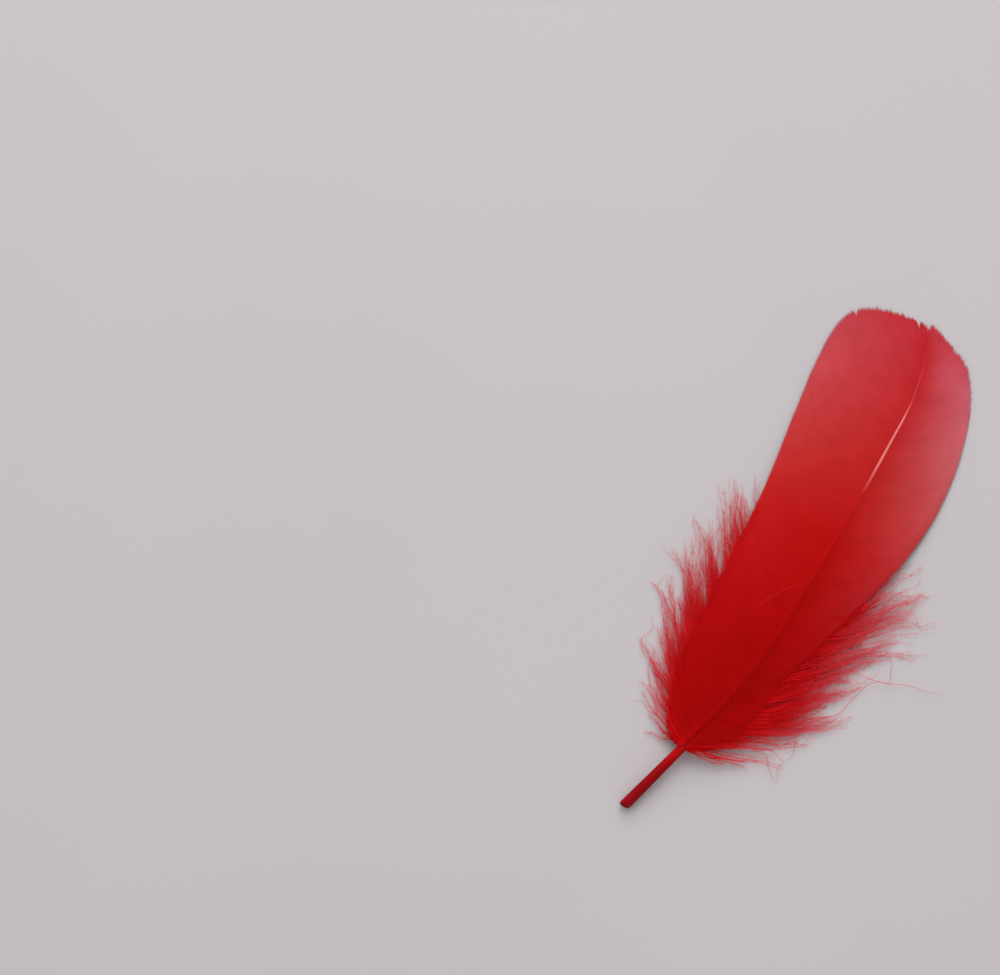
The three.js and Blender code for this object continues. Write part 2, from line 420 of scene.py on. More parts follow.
class Nodes:
    """A material's node tree, with short calls for the nodes that are used here."""

    def __init__(self, name):
        self.material = bpy.data.materials.new(name)
        self.material.use_nodes = True
        self.tree = self.material.node_tree
        self.shader = self.tree.nodes["Principled BSDF"]

    def link(self, source, target):
        self.tree.links.new(source, target)

    def attribute(self, name):
        node = self.tree.nodes.new("ShaderNodeAttribute")
        node.attribute_name = name
        return node.outputs["Fac"]

    def ramp(self, source, stops):
        node = self.tree.nodes.new("ShaderNodeValToRGB")
        band = node.color_ramp
        while len(band.elements) < len(stops):
            band.elements.new(0.5)
        for element, (place, colour) in zip(band.elements, stops):
            element.position = place
            element.color = colour
        self.link(source, node.inputs["Fac"])
        return node.outputs["Color"]

    def mix(self, share, first, second, blend="MIX"):
        node = self.tree.nodes.new("ShaderNodeMix")
        node.data_type = "RGBA"
        node.blend_type = blend
        sockets = (node.inputs[0], node.inputs[6], node.inputs[7])
        for socket, value in zip(sockets, (share, first, second)):
            if isinstance(value, (int, float)):
                socket.default_value = value
            else:
                self.link(value, socket)
        return node.outputs[2]

    def place(self, scale=(1, 1, 1)):
        """The place on the object in metres, stretched along the frame's axes."""
        source = self.tree.nodes.new("ShaderNodeTexCoord").outputs["Object"]
        mapping = self.tree.nodes.new("ShaderNodeMapping")
        mapping.inputs["Scale"].default_value = scale
        self.link(source, mapping.inputs["Vector"])
        return mapping.outputs["Vector"]

    def noise(self, place, scale, detail=3):
        node = self.tree.nodes.new("ShaderNodeTexNoise")
        node.inputs["Scale"].default_value = scale
        node.inputs["Detail"].default_value = detail
        self.link(place, node.inputs["Vector"])
        return node.outputs["Fac"]

    def bump(self, height, strength, distance):
        node = self.tree.nodes.new("ShaderNodeBump")
        node.inputs["Strength"].default_value = strength
        node.inputs["Distance"].default_value = distance
        self.link(height, node.inputs["Height"])
        self.link(node.outputs["Normal"], self.shader.inputs["Normal"])

    def finish(self, colour, roughness, specular):
        self.link(colour, self.shader.inputs["Base Color"])
        self.shader.inputs["Roughness"].default_value = roughness
        self.shader.inputs["Specular IOR Level"].default_value = specular
        return self.material


def vane_material():
    """Dyed barbs: deep red near the down, paler and pinker to the tip and the edges, on the
    right vane partly by painted light, and a painted shade on the very rim.
    """
    nodes = Nodes("vane_barbs")
    along = nodes.attribute("along")
    inner = nodes.ramp(along, [
        (0.24, linear(162, 7, 7)),
        (0.34, linear(166, 8, 8)),
        (0.42, linear(175, 10, 10)),
        (0.58, linear(184, 16, 15)),
        (0.72, linear(188, 35, 33)),
        (0.84, linear(189, 39, 42)),
        (0.96, linear(184, 34, 41)),
    ])
    # The outer colours are partly painted light: lifted above the edges' own tone where the
    # right vane slopes into shade.
    outer = nodes.ramp(along, [
        (0.24, linear(212, 15, 17)),
        (0.42, linear(214, 26, 33)),
        (0.58, linear(222, 56, 60)),
        (0.71, linear(220, 90, 93)),
        (0.82, linear(221, 111, 119)),
        (0.92, linear(210, 102, 116)),
        (0.98, linear(190, 60, 72)),
    ])
    colour = nodes.mix(nodes.attribute("pale"), inner, outer)
    blotches = nodes.noise(nodes.place(), scale=160)
    shade = nodes.ramp(blotches, [(0.3, (0.95, 0.9, 0.9, 1)), (0.7, (1.03, 1.07, 1.07, 1))])
    colour = nodes.mix(1.0, colour, shade, "MULTIPLY")
    each = nodes.ramp(nodes.attribute("strand"), [
        (0, (0.97, 0.955, 0.955, 1)),
        (1, (1.02, 1.03, 1.03, 1)),
    ])
    colour = nodes.mix(1.0, colour, each, "MULTIPLY")
    # Painted shade: the last share of each barb, along the vanes' edges, is darkened to a
    # purple red where the rim curls down.
    rim = nodes.ramp(nodes.attribute("across"), [
        (0.97, (1, 1, 1, 1)),
        (1, (0.74, 0.55, 0.72, 1)),
    ])
    colour = nodes.mix(1.0, colour, rim, "MULTIPLY")
    grain = nodes.noise(nodes.place(), scale=6000, detail=2)
    nodes.bump(grain, strength=0.12, distance=0.00004)
    return nodes.finish(colour, roughness=0.8, specular=0.015)


def down_material():
    """Dyed down: deep red where it is thick, and paler in its hair-fine ends."""
    nodes = Nodes("down_barbs")
    colour = nodes.ramp(nodes.attribute("pale"), [
        (0, linear(208, 11, 12)),
        (0.4, linear(220, 24, 29)),
        (0.7, linear(230, 68, 78)),
        (1, linear(230, 112, 124)),
    ])
    each = nodes.ramp(nodes.attribute("strand"), [
        (0, (0.95, 0.92, 0.92, 1)),
        (1, (1.03, 1.06, 1.06, 1)),
    ])
    colour = nodes.mix(1.0, colour, each, "MULTIPLY")
    blotches = nodes.noise(nodes.place(), scale=260)
    shade = nodes.ramp(blotches, [(0.3, (0.9, 0.85, 0.85, 1)), (0.7, (1.05, 1.12, 1.12, 1))])
    colour = nodes.mix(1.0, colour, shade, "MULTIPLY")
    grain = nodes.noise(nodes.place(), scale=5000, detail=2)
    nodes.bump(grain, strength=0.2, distance=0.00005)
    return nodes.finish(colour, roughness=0.9, specular=0.0)


def horn_material():
    """Dyed horn: dark crimson quill, bright where the barbs begin, and a painted highlight in
    pale pink on the shaft near the tip.
    """
    nodes = Nodes("shaft_horn")
    colour = nodes.ramp(nodes.attribute("along"), [
        (0, linear(162, 4, 22)),
        (0.03, linear(150, 3, 16)),
        (0.09, linear(153, 3, 9)),
        (0.125, linear(188, 5, 7)),
        (0.17, linear(156, 4, 5)),
        (0.26, linear(186, 8, 9)),
        (0.6, linear(190, 14, 15)),
        (0.7, linear(186, 26, 26)),
        # Painted highlight: pale pink from here to 0.885, the window's glint along the shaft's
        # bare top.
        (0.765, linear(236, 128, 124)),
        (0.85, linear(236, 128, 128)),
        (0.885, linear(202, 62, 66)),
        (1, linear(192, 50, 58)),
    ])
    streaks = nodes.noise(nodes.place((1, 0.05, 1)), scale=900)
    shade = nodes.ramp(streaks, [(0.3, (0.86, 0.82, 0.82, 1)), (0.7, (1.06, 1.08, 1.08, 1))])
    colour = nodes.mix(1.0, colour, shade, "MULTIPLY")
    nodes.bump(streaks, strength=0.2, distance=0.00006)
    return nodes.finish(colour, roughness=0.5, specular=0.08)


def floor_material():
    """A plain pale surface."""
    nodes = Nodes("pale_floor")
    tone = nodes.ramp(nodes.noise(nodes.place(), scale=6), [
        (0.3, (0.60, 0.565, 0.58, 1)),
        (0.7, (0.62, 0.585, 0.60, 1)),
    ])
    return nodes.finish(tone, roughness=0.8, specular=0.1)


# Fineness of the shaft. Then how square it gets, how much of its radius the barbs' roots take
# up where it is bare, and how much it thins at its end, each with the stations between which
# that grows. The groove underneath grows as it gets squarer.
SHAFT_RINGS = 170
SHAFT_SIDES = 24
SQUARENESS = 0.22
SQUARE_STATIONS = (24, 50)
SHAFT_SINK = 0.28
SINK_STATIONS = (90, 108)
SHAFT_THINNING = 0.35
THIN_STATIONS = (128, 145.5)
GROOVE_DEPTH = 0.22
GROOVE_WIDTH = 0.42

# The depth and width of the hollow in the cut end, the places of its rings, how slanted the
# cut is, how far along the slant fades, and the rim's size.
HOLLOW_DEPTH = 3.5
HOLLOW_SHARE = 0.62
HOLLOW_RINGS = [1, 0.7, 0.35, 0]
CUT_SLANT = 0.35
SLANT_FADE = 1.2
RIM_SHARE = 0.94

# The hair that the shaft ends in: its tip, how much thinner that is, and its rings.
HAIR_TIP = [1.55, 147.2, 1.1]
HAIR_TAPER = 0.9
TAIL_RINGS = 5


def shaft_sections(stations, centre, radius):
    """Rings across the shaft: squarer between the vanes, with a groove underneath."""
    angle = np.arange(SHAFT_SIDES) * 2 * math.pi / SHAFT_SIDES
    square = ease(*SQUARE_STATIONS, stations)[:, None]
    power = 1 - SQUARENESS * square
    across = np.sign(np.cos(angle)) * np.abs(np.cos(angle)) ** power
    height = np.sign(np.sin(angle)) * np.abs(np.sin(angle)) ** power
    under = np.exp(-((angle - 1.5 * math.pi) / GROOVE_WIDTH) ** 2)
    height = height + GROOVE_DEPTH * square * under
    ring = np.zeros((len(stations), SHAFT_SIDES, 3))
    ring[:, :, 0] = centre[:, None, 0] + radius[:, None] * across
    ring[:, :, 1] = centre[:, None, 1]
    ring[:, :, 2] = centre[:, None, 2] + radius[:, None] * height
    return ring


def shaft_piece(material):
    """The bare quill with its hollow cut end, and the shaft that tapers to a hair."""
    stations = np.linspace(0, SHAFT[-1][0], SHAFT_RINGS)
    centre, radius = shaft_at(stations)
    radius = radius * (1 - SHAFT_SINK * ease(*SINK_STATIONS, stations))
    radius = radius * (1 - SHAFT_THINNING * ease(*THIN_STATIONS, stations))
    outer = shaft_sections(stations, centre, radius)
    outer[0] = centre[0] + (outer[0] - centre[0]) * RIM_SHARE
    along_hair = np.linspace(0, 1, TAIL_RINGS + 1)[1:, None, None]
    middle = centre[-1] + (np.array(HAIR_TIP) - centre[-1]) * along_hair
    tail = middle + (outer[-1] - centre[-1])[None] * (1 - HAIR_TAPER * along_hair)
    depth = np.array(HOLLOW_RINGS) * HOLLOW_DEPTH
    inner_centre, inner_radius = shaft_at(depth)
    inner = shaft_sections(depth, inner_centre, inner_radius * HOLLOW_SHARE)
    rings = np.concatenate([inner, outer, tail])
    slant = CUT_SLANT * (rings[:, :, 2] - centre[0, 2]) * np.exp(-rings[:, :, 1] / SLANT_FADE)
    rings[:, :, 1] += slant
    points = rings[None]
    faces = tube_faces(points.shape[:3], inward=True)
    values = {"along": points[..., 1].ravel() / SHAFT_SPAN}
    add_piece("quill_and_shaft", "shaft", points, faces, values, material,
              soft=True)


# A barb has a ridge above, a keel below and a web on both sides. Its relief is the ridge's
# height for half the web's width, and its lean lifts the edge that lies over its neighbour.
BARB_SECTION = [(1, 0), (0, 1), (-1, 0), (0, -2)]
BARB_RELIEF = 0.08
BARB_LEAN = 0.06

# Half a web's width for the barbs' spacing, the widest spacing that it covers, its width at
# the barb's end, and the length over which it narrows, which doubles at the vane's tip.
WEB_SHARE = 0.825
WEB_SPACING = 0.75
WEB_END = 0.1
WEB_TAPER = 0.9

# Stations between which a vane's loose lowest barbs close up, and between which the ragged
# edge of its tip begins.
CLOSING_STATIONS = (24, 46)
RAGGED_STATIONS = (112, 124)

# How ragged the vane's edge is: where it is smooth, what the tip adds, and what loose barbs
# add. Waves that neighbouring barbs share, sideways and up. How far single barbs stray from
# them, sideways and up, each where they are closed and what loose barbs add.
RAGGED_EDGE = 0.06
RAGGED_TIP = 0.12
RAGGED_LOOSE = 0.4
WAVE_SIDEWAYS = 0.04
WAVE_UP = 0.06
STRAY_SIDEWAYS = (0.006, 0.15)
STRAY_UP = (0.001, 0.03)

# The vane's lowest height, the share of a barb where the curled edge starts and ends, and
# the length along the feather over which the curl comes and goes.
VANE_LOWEST = 0.2
CURL_SHARES = (0.86, 1.02)
CURL_FADE = 8

# Limits for a web's tilt: the closest that two barbs count as, and the steepest slope.
CLOSEST_BARBS = 0.08
STEEPEST_WEB = 0.8

# Powers: how the rings crowd to a barb's root, how its web narrows, and how it pales.
RING_POWER = 1.15
TAPER_POWER = 0.7
PALE_POWER = 1.2

# The waves that neighbouring barbs share: radians for each millimetre of the shaft and for a
# barb's whole length, where they start, and size. They grow over the first share of a barb.
RIPPLES = [(0.23, 3.1, 0.7, 1), (0.51, -4.3, 0, 0.6), (1.1, 6, 2, 0.3)]
RIPPLE_GROWTH = 0.35


def rippled(stations, shares, size):
    """Gentle waves that neighbouring barbs share."""
    wave = 0
    for along, out, start, part in RIPPLES:
        wave = wave + part * np.sin(stations[:, None] * along + out * shares + start)
    return size * wave * ease(0, RIPPLE_GROWTH, shares)


def barb_ends(rows, side, stations):
    """Roots of a vane's barbs, and the places on the vane's smooth outline they run to."""
    centre, radius = shaft_at(stations)
    cover = 1 - ease(*BARE_STATIONS, stations)
    inset = ROOT_INSET + (COVER_INSET - ROOT_INSET) * cover
    roots = np.stack([centre[:, 0] + side * inset * radius, stations], 1)
    tips = smooth(rows, stations)
    length = np.linalg.norm(tips[:, :2] - roots, axis=1)[:, None]
    return roots, tips, length, cover


def barb_reach(stations, loose, at_tip, notches, rng):
    """How far each barb reaches past the vane's outline. A notch has shorter barbs."""
    size = RAGGED_EDGE + RAGGED_TIP * at_tip + RAGGED_LOOSE * loose
    ragged = rng.normal(0, 1, len(stations)) * size
    for station, depth, half in notches:
        ragged = ragged - depth * np.clip(1 - np.abs(stations - station) / half, 0, 1)
    return ragged[:, None]


def barb_heights(stations, shares, tips, cover, out, curl):
    """Heights along the barbs: over the shaft's shoulder, and down a roof to the edge."""
    centre, radius = shaft_at(stations)
    seat = (centre[:, 2] + (VANE_SEAT + (COVER_SEAT - VANE_SEAT) * cover) * radius)[:, None]
    fall = seat - tips[:, 2:3]
    height = seat - fall * (ROOF_SHARE * shares + (1 - ROOF_SHARE) * shares ** 2)
    shoulder = np.exp(-(out / (SHOULDER * radius[:, None])) ** 2)
    height = height + (COVER_RISE * cover * radius)[:, None] * shoulder
    height = height + rippled(stations, shares, WAVE_UP)
    if curl:
        start, end, drop = curl
        y = tips[:, 1]
        rim = ease(start, start + CURL_FADE, y) * (1 - ease(end - CURL_FADE, end, y))
        height = height - drop * rim[:, None] * ease(*CURL_SHARES, shares) ** 2
    return height


def web_tilt(plan, height, tangent, beside):
    """How steeply a vane's surface climbs to the left of each barb."""
    run = np.linalg.norm(np.gradient(plan, axis=1), axis=-1)
    climb = np.gradient(height, axis=1) / np.maximum(run, 1e-6)
    step = np.gradient(plan, axis=0)
    across = (step * beside).sum(-1)
    least = CLOSEST_BARBS * np.sign(across.sum())
    across = np.where(across * least < least ** 2, least, across)
    rise = np.gradient(height, axis=0) - climb * (step * tangent).sum(-1)
    return np.clip(rise / across, -STEEPEST_WEB, STEEPEST_WEB) / np.sqrt(1 + climb ** 2)


def vane_piece(name, node, rows, side, bow, pale, seed, material,
               slits=(), notches=(), curl=None):
    """One vane: barbs that lie beside each other. Gives back their lines and stations.

    pale is how much of the outer colour the vane's edge shows, below and at the tip."""
    rng = np.random.default_rng(seed)
    stations = np.linspace(rows[0][0], rows[-1][0], VANE_BARBS)
    loose = 1 - ease(*CLOSING_STATIONS, stations)
    at_tip = ease(*RAGGED_STATIONS, stations)
    roots, tips, length, cover = barb_ends(rows, side, stations)
    done = np.linspace(0, 1, BARB_RINGS)[None] ** RING_POWER
    shares = done * (1 + barb_reach(stations, loose, at_tip, notches, rng) / length)
    plan = bowed(roots, tips[:, :2], side, bow, shares)
    tangent = unit(np.gradient(plan, axis=1))
    beside = np.stack([-tangent[..., 1], tangent[..., 0]], -1)
    spacing = np.abs((np.gradient(plan, axis=0) * beside).sum(-1))
    own = rng.normal(0, 1, (VANE_BARBS, 1)) * done ** 2
    stray = STRAY_SIDEWAYS[0] + STRAY_SIDEWAYS[1] * loose[:, None]
    move = rippled(stations, shares, WAVE_SIDEWAYS) + own * stray
    for station, opening, depth, half in slits:
        away = stations - station
        push = np.sign(away) * opening / 2 * np.exp(-np.abs(away) / half)
        inside = np.clip((shares - 1) * length / depth + 1, 0, 1)
        move = move + side * push[:, None] * inside
    plan = plan + beside * move[..., None]
    out = np.linalg.norm(plan - roots[:, None], axis=2)
    height = barb_heights(stations, shares, tips, cover, out, curl)
    tilt = web_tilt(plan, height, tangent, beside)
    stray = STRAY_UP[0] + STRAY_UP[1] * loose[:, None]
    height = height + rng.normal(0, 1, (VANE_BARBS, 1)) * stray * done
    lines = np.concatenate([plan, np.maximum(height, VANE_LOWEST)[..., None]], -1)
    narrowing = WEB_TAPER * (1 + at_tip[:, None])
    taper = np.clip((1 - done) * length / narrowing, 0, 1) ** TAPER_POWER
    wide = WEB_SHARE * np.minimum(spacing, WEB_SPACING) * (WEB_END + (1 - WEB_END) * taper)
    lean = (tilt + BARB_LEAN * side)[..., None]
    points, faces = strips(lines, wide, BARB_RELIEF * wide, BARB_SECTION, lean)
    shown = np.broadcast_to(done, wide.shape)
    paleness = pale[0] + (pale[1] - pale[0]) * ease(*PALE_STATIONS, lines[..., 1])
    values = {
        "along": spread(lines[..., 1] / VANE_SPAN, points),
        "across": spread(shown, points),
        "pale": spread(paleness * shown ** PALE_POWER, points),
        "strand": spread(rng.random(VANE_BARBS), points),
    }
    add_piece(name, node, points, faces, values, material)
    return lines, stations


# A strand of down is a narrow ribbon at its root, and a hair at its end. Its relief is its
# thickness for its width.
STRAND_SECTION = [(1, 0), (0, 1), (-1, 0), (0, -1)]
HAIR_SECTION = [(1, -0.5), (0, 1), (-1, -0.5)]
STRAND_RELIEF = 0.25

# Half the width of thick down's strands and of hairs, at the root and at the end, the shares
# of the way between which they narrow, how much more they thin at the very end, and how
# different single ones are.
STRAND_SIZES = (0.11, 0.06)
HAIR_SIZES = (0.12, 0.055)
NARROWING_SHARES = (0.1, 0.5)
STRAND_TAPER = 0.75
SIZE_RANGE = (0.75, 1.25)

# How far along the shaft the down starts before its tables do, and how far out on the shaft
# its roots are, as a share of the shaft's radius.
DOWN_LEAD = 0.4
DOWN_INSET = 0.6

# The waves of a strand, from the longest to the shortest: radians for each millimetre, sizes
# for the strand's sway, and how far apart they start in a lock. The sway grows by a power of
# the way out.
WAVE_RATES = [0.3, 0.75, 1.5, 2.9]
WAVE_SIZES = [1, 0.55, 0.3, 0.16]
WAVE_SCATTERS = [0.25, 0.4, 0.7, 1.5]
SWAY_POWER = 1.6

# The thick down: how far the ends of locks and of single strands drift. As shares of the way
# to the table's place, a lock's length and its scatter, the least and the greatest length of
# a strand in it, and the limits of both together. Then a lock's droop and its scatter, the
# sway, how far apart the waves in a lock start, and how far out a strand's end counts as.
LOCK_DRIFT = 0.65
STRAND_DRIFT = 0.7
LOCK_REACH = (1.02, 0.13)
STRAND_REACH = (0.72, 1.1)
REACH_LIMITS = (0.6, 1.4)
LOCK_DROOP = (0.05, 0.12)
STRAND_SWAY = 0.55
STRAND_SCATTER = 2.8
MASS_DONE = 0.52

# The hairs: how scattered a tuft's roots are, what share of its hairs strays, how far those
# and the others end from its place, how much shorter than the longest the shortest are and
# the power that makes short ones rare, the scatter of the droop, the least sway and what the
# wildest adds, and how far apart the waves in a tuft start.
ROOT_SCATTER = 1.3
STRAYING_HAIRS = 0.3
STRAY_MISS = 2.6
TUFT_MISS = 0.6
HAIR_SHORTENING = 0.45
SHORT_POWER = 1.3
DROOP_SCATTER = 0.12
HAIR_SWAY = (0.5, 1.2)
HAIR_SCATTER = 1.4

# Heights of the down. The stations between which strands stop lying over the vane's foot. A
# root's height from the shaft's middle in its radii, an end's height, and the power that a
# strand falls by, each for the lowest layer, and what the highest adds. Then the size of the
# waves on the way and their radians for the whole way, and the lowest that a strand gets.
FOOT_STATIONS = (21.5, 28)
ROOT_HEIGHTS = (-0.6, 1.7)
END_HEIGHTS = (0.5, 0.8)
FALL_POWERS = (2.1, -1.2)
HEIGHT_WAVE = 0.16
HEIGHT_WAVE_RATE = 13
STRAND_LOWEST = 0.12

# Barbules: the stations between which their start moves out from the shaft, their angles to
# the strand in degrees, their rise for their length and its scatter, their size at a
# strand's root and what the end takes off, and the lowest that they get.
FLUFF_STATIONS = (25, 33)
BARBULE_ANGLES = (15, 60)
BARBULE_RISE = (0.03, 0.1)
BARBULE_SIZES = (1.15, 0.75)
BARBULE_LOWEST = 0.05

# How far out the fluff on the vane's foot counts for its colour, and how much further out
# than its hair a hair's fluff does.
FOOT_DONE = 0.2
HAIR_FLUFF_DONE = 0.1


def down_plan(roots, tips, side, droop, sway, phases, shares):
    """Wavy plan points of strands, at each one's own shares of the way to its tip.

    Each strand sways by its own number of millimetres."""
    plan = bowed(roots, tips, side, DOWN_BOW, shares)
    length = np.linalg.norm(tips - roots, axis=1)[:, None]
    heading = unit(tips - roots)
    beside = np.stack([-side * heading[:, 1], side * heading[:, 0]], 1)
    wave = 0
    for rate, size, phase in zip(WAVE_RATES, WAVE_SIZES, phases.T[:, :, None]):
        wave = wave + size * np.sin(length * shares * rate + phase)
    move = sway[:, None] * wave * shares ** SWAY_POWER
    move = move + droop[:, None] * length * (shares ** 2 - shares ** 3)
    return plan + beside[:, None] * move[..., None]


def lock_phases(lock, scatter, rng):
    """Where the waves of strands start. In a lock the longest waves start nearly together."""
    count = len(WAVE_RATES)
    shared = rng.random((lock.max() + 1, count)) * 2 * math.pi
    return shared[lock] + scatter * rng.normal(0, 1, (len(lock), count)) * WAVE_SCATTERS


def down_heights(stations, done, layer, rng):
    """Heights of strands that leave the shaft above each other and sink to the surface.

    The lowest strands on the shaft lie over the vane's foot, and the others under it."""
    centre, radius = shaft_at(stations)
    rise = layer * (1 - ease(*FOOT_STATIONS, stations))
    root_height = centre[:, 2] + radius * (ROOT_HEIGHTS[0] + ROOT_HEIGHTS[1] * rise)
    tip_height = END_HEIGHTS[0] + END_HEIGHTS[1] * layer
    power = FALL_POWERS[0] + FALL_POWERS[1] * rise
    left = (1 - done) ** power[:, None]
    height = tip_height[:, None] + (root_height - tip_height)[:, None] * left
    phase = rng.random((len(stations), 1)) * 2 * math.pi
    height = height + HEIGHT_WAVE * np.sin(done * HEIGHT_WAVE_RATE + phase) * done
    return np.maximum(height, STRAND_LOWEST)


def down_roots(stations, side):
    """Plan points on the shaft that strands leave it from."""
    centre, radius = shaft_at(stations)
    return np.stack([centre[:, 0] + side * DOWN_INSET * radius, stations], 1)


def mass_lines(mass, side, rng):
    """Strands of the thick down. Gives their lines, and how far out they are along them."""
    first = mass[0][0] - DOWN_LEAD
    last = mass[-1][0]
    part = np.sort(rng.random(MASS_STRANDS))
    stations = first + (last - first) * (part + part ** 3) / 2
    lock = np.arange(MASS_STRANDS) // LOCK_STRANDS
    locks = lock[-1] + 1
    goals = smooth(mass, np.maximum(stations, mass[0][0]))
    roots = down_roots(stations, side)
    drift = rng.normal(0, LOCK_DRIFT, (locks, 2))[lock]
    drift = drift + rng.normal(0, STRAND_DRIFT, roots.shape)
    reach = rng.normal(*LOCK_REACH, locks)[lock] * rng.uniform(*STRAND_REACH, MASS_STRANDS)
    reach = np.clip(reach, *REACH_LIMITS)[:, None]
    shares = np.linspace(0, 1, STRAND_RINGS)[None] * np.ones_like(reach)
    tips = roots + (goals - roots) * reach + drift
    droop = rng.normal(*LOCK_DROOP, locks)[lock]
    sway = np.full(MASS_STRANDS, STRAND_SWAY)
    phases = lock_phases(lock, STRAND_SCATTER, rng)
    plan = down_plan(roots, tips, side, droop, sway, phases, shares)
    done = shares * reach * MASS_DONE
    height = down_heights(stations, done, rng.random(MASS_STRANDS), rng)
    return np.concatenate([plan, height[..., None]], -1), done


def hair_lines(tufts, side, rng):
    """Long hairs that gather in tufts. Gives their lines, and how far out they are."""
    lock = np.repeat(np.arange(len(tufts)), [row[4] for row in tufts])
    count = len(lock)
    goals = np.array([row[:4] for row in tufts], float)[lock]
    stations = goals[:, 0] + rng.normal(0, ROOT_SCATTER, count)
    stations = np.maximum(stations, tufts[0][0] - DOWN_LEAD)
    roots = down_roots(stations, side)
    miss = np.where(rng.random(count) < STRAYING_HAIRS, STRAY_MISS, TUFT_MISS)[:, None]
    tips = goals[:, 1:3] + rng.normal(0, 1, roots.shape) * miss
    reach = 1 - HAIR_SHORTENING * rng.random(count) ** SHORT_POWER
    shares = np.linspace(0, 1, HAIR_RINGS)[None] * reach[:, None]
    droop = goals[:, 3] + rng.normal(0, DROOP_SCATTER, count)
    sway = HAIR_SWAY[0] + HAIR_SWAY[1] * rng.random(count) ** 3
    phases = lock_phases(lock, HAIR_SCATTER, rng)
    plan = down_plan(roots, tips, side, droop, sway, phases, shares)
    height = down_heights(stations, shares, rng.random(count), rng)
    return np.concatenate([plan, height[..., None]], -1), shares


def strand_piece(name, node, lines, done, sizes, section, seed, material):
    """Strands with the half widths that sizes has for the root and for the end."""
    rng = np.random.default_rng(seed)
    end = 1 - STRAND_TAPER * np.linspace(0, 1, lines.shape[1])[None] ** 3
    each = rng.uniform(*SIZE_RANGE, (len(lines), 1))
    wide = sizes[1] + (sizes[0] - sizes[1]) * (1 - ease(*NARROWING_SHARES, done))
    wide = wide * each * end
    points, faces = strips(lines, wide, STRAND_RELIEF * wide, section)
    values = {
        "pale": spread(done, points),
        "strand": spread(rng.random(len(lines)), points),
    }
    add_piece(name, node, points, faces, values, material)


def barbules(lines, done, count, fade, starts, length, rng):
    """Barbules on both sides of strands: where they start and end, and how far out.

    A fade above 1 puts more of them on the first strands, and 1 as many on each. starts has
    the share of a strand where they begin on the lowest, on the others, and where they end."""
    pick = (len(lines) * rng.random(count) ** fade).astype(int)
    moved = ease(*FLUFF_STATIONS, lines[pick, 0, 1])
    first = starts[0] + (starts[1] - starts[0]) * moved
    spot = (first + (starts[2] - first) * rng.random(count)) * (lines.shape[1] - 1)
    low = np.minimum(spot.astype(int), lines.shape[1] - 2)
    part = (spot - low)[:, None]
    begin = lines[pick, low] * (1 - part) + lines[pick, low + 1] * part
    heading = unit(lines[pick, low + 1] - lines[pick, low])
    turn = rng.choice([-1, 1], count) * np.radians(rng.uniform(*BARBULE_ANGLES, count))
    away = np.stack([
        heading[:, 0] * np.cos(turn) - heading[:, 1] * np.sin(turn),
        heading[:, 0] * np.sin(turn) + heading[:, 1] * np.cos(turn),
        heading[:, 2] + BARBULE_RISE[0] + np.abs(rng.normal(0, BARBULE_RISE[1], count)),
    ], 1)
    shrink = BARBULE_SIZES[0] - BARBULE_SIZES[1] * spot / lines.shape[1]
    size = rng.uniform(*length, count) * shrink
    end = begin + unit(away) * size[:, None]
    end[:, 2] = np.maximum(end[:, 2], BARBULE_LOWEST)
    return begin, end, done[pick, low]


def fluff_piece(name, node, groups, seed, material):
    """Barbules of several groups of strands, as fine spikes.

    A group has the strands' lines, how far out they are, a number of barbules, and what
    barbules() calls fade, starts and length, and half a barbule's width."""
    rng = np.random.default_rng(seed)
    begins, ends, outs, wides = [], [], [], []
    for lines, done, count, fade, starts, length, wide in groups:
        begin, end, out = barbules(lines, done, count, fade, starts, length, rng)
        begins.append(begin)
        ends.append(end)
        outs.append(out)
        wides.append(np.full(count, wide))
    points, faces = spikes(np.concatenate(begins), np.concatenate(ends), np.concatenate(wides))
    values = {
        "pale": spread(np.clip(np.concatenate(outs), 0, 1), points),
        "strand": spread(rng.random(len(points)), points),
    }
    add_piece(name, node, points, faces, values, material)


def down(side_name, mass, tufts, side, vane, seed, material):
    """One side's down: strands, hairs and their fluff, which covers the vane's foot too."""
    rng = np.random.default_rng(seed)
    node = side_name + "_down"
    thick, thick_done = mass_lines(mass, side, rng)
    hairs, hair_done = hair_lines(tufts, side, rng)
    strand_piece(node + "_strands", node, thick, thick_done, STRAND_SIZES, STRAND_SECTION,
                 seed + 1, material)
    strand_piece(node + "_hairs", node, hairs, hair_done, HAIR_SIZES, HAIR_SECTION,
                 seed + 2, material)
    vane_lines, vane_stations = vane
    foot = vane_lines[vane_stations < FOOT_END]
    foot_done = np.full(foot.shape[:2], FOOT_DONE)
    groups = [
        (thick, thick_done, MASS_BARBULES, *MASS_FLUFF),
        (foot, foot_done, VANE_BARBULES, *VANE_FLUFF),
        (foot, foot_done, EDGE_BARBULES, *EDGE_FLUFF),
    ]
    fluff_piece(node + "_fluff", node, groups, seed + 3, material)
    groups = [(hairs, HAIR_FLUFF_DONE + hair_done, HAIR_BARBULES[side], *HAIR_FLUFF)]
    fluff_piece(node + "_hair_fluff", node, groups, seed + 4, material)


def rounded(route, count):
    """Points spaced evenly along a smooth curve through a route's points."""
    route = np.asarray(route, float)
    steps = np.concatenate([[0], np.cumsum(np.linalg.norm(np.diff(route, axis=0), axis=1))])
    table = np.column_stack([steps, route])
    return smooth(table, np.linspace(0, steps[-1], count))


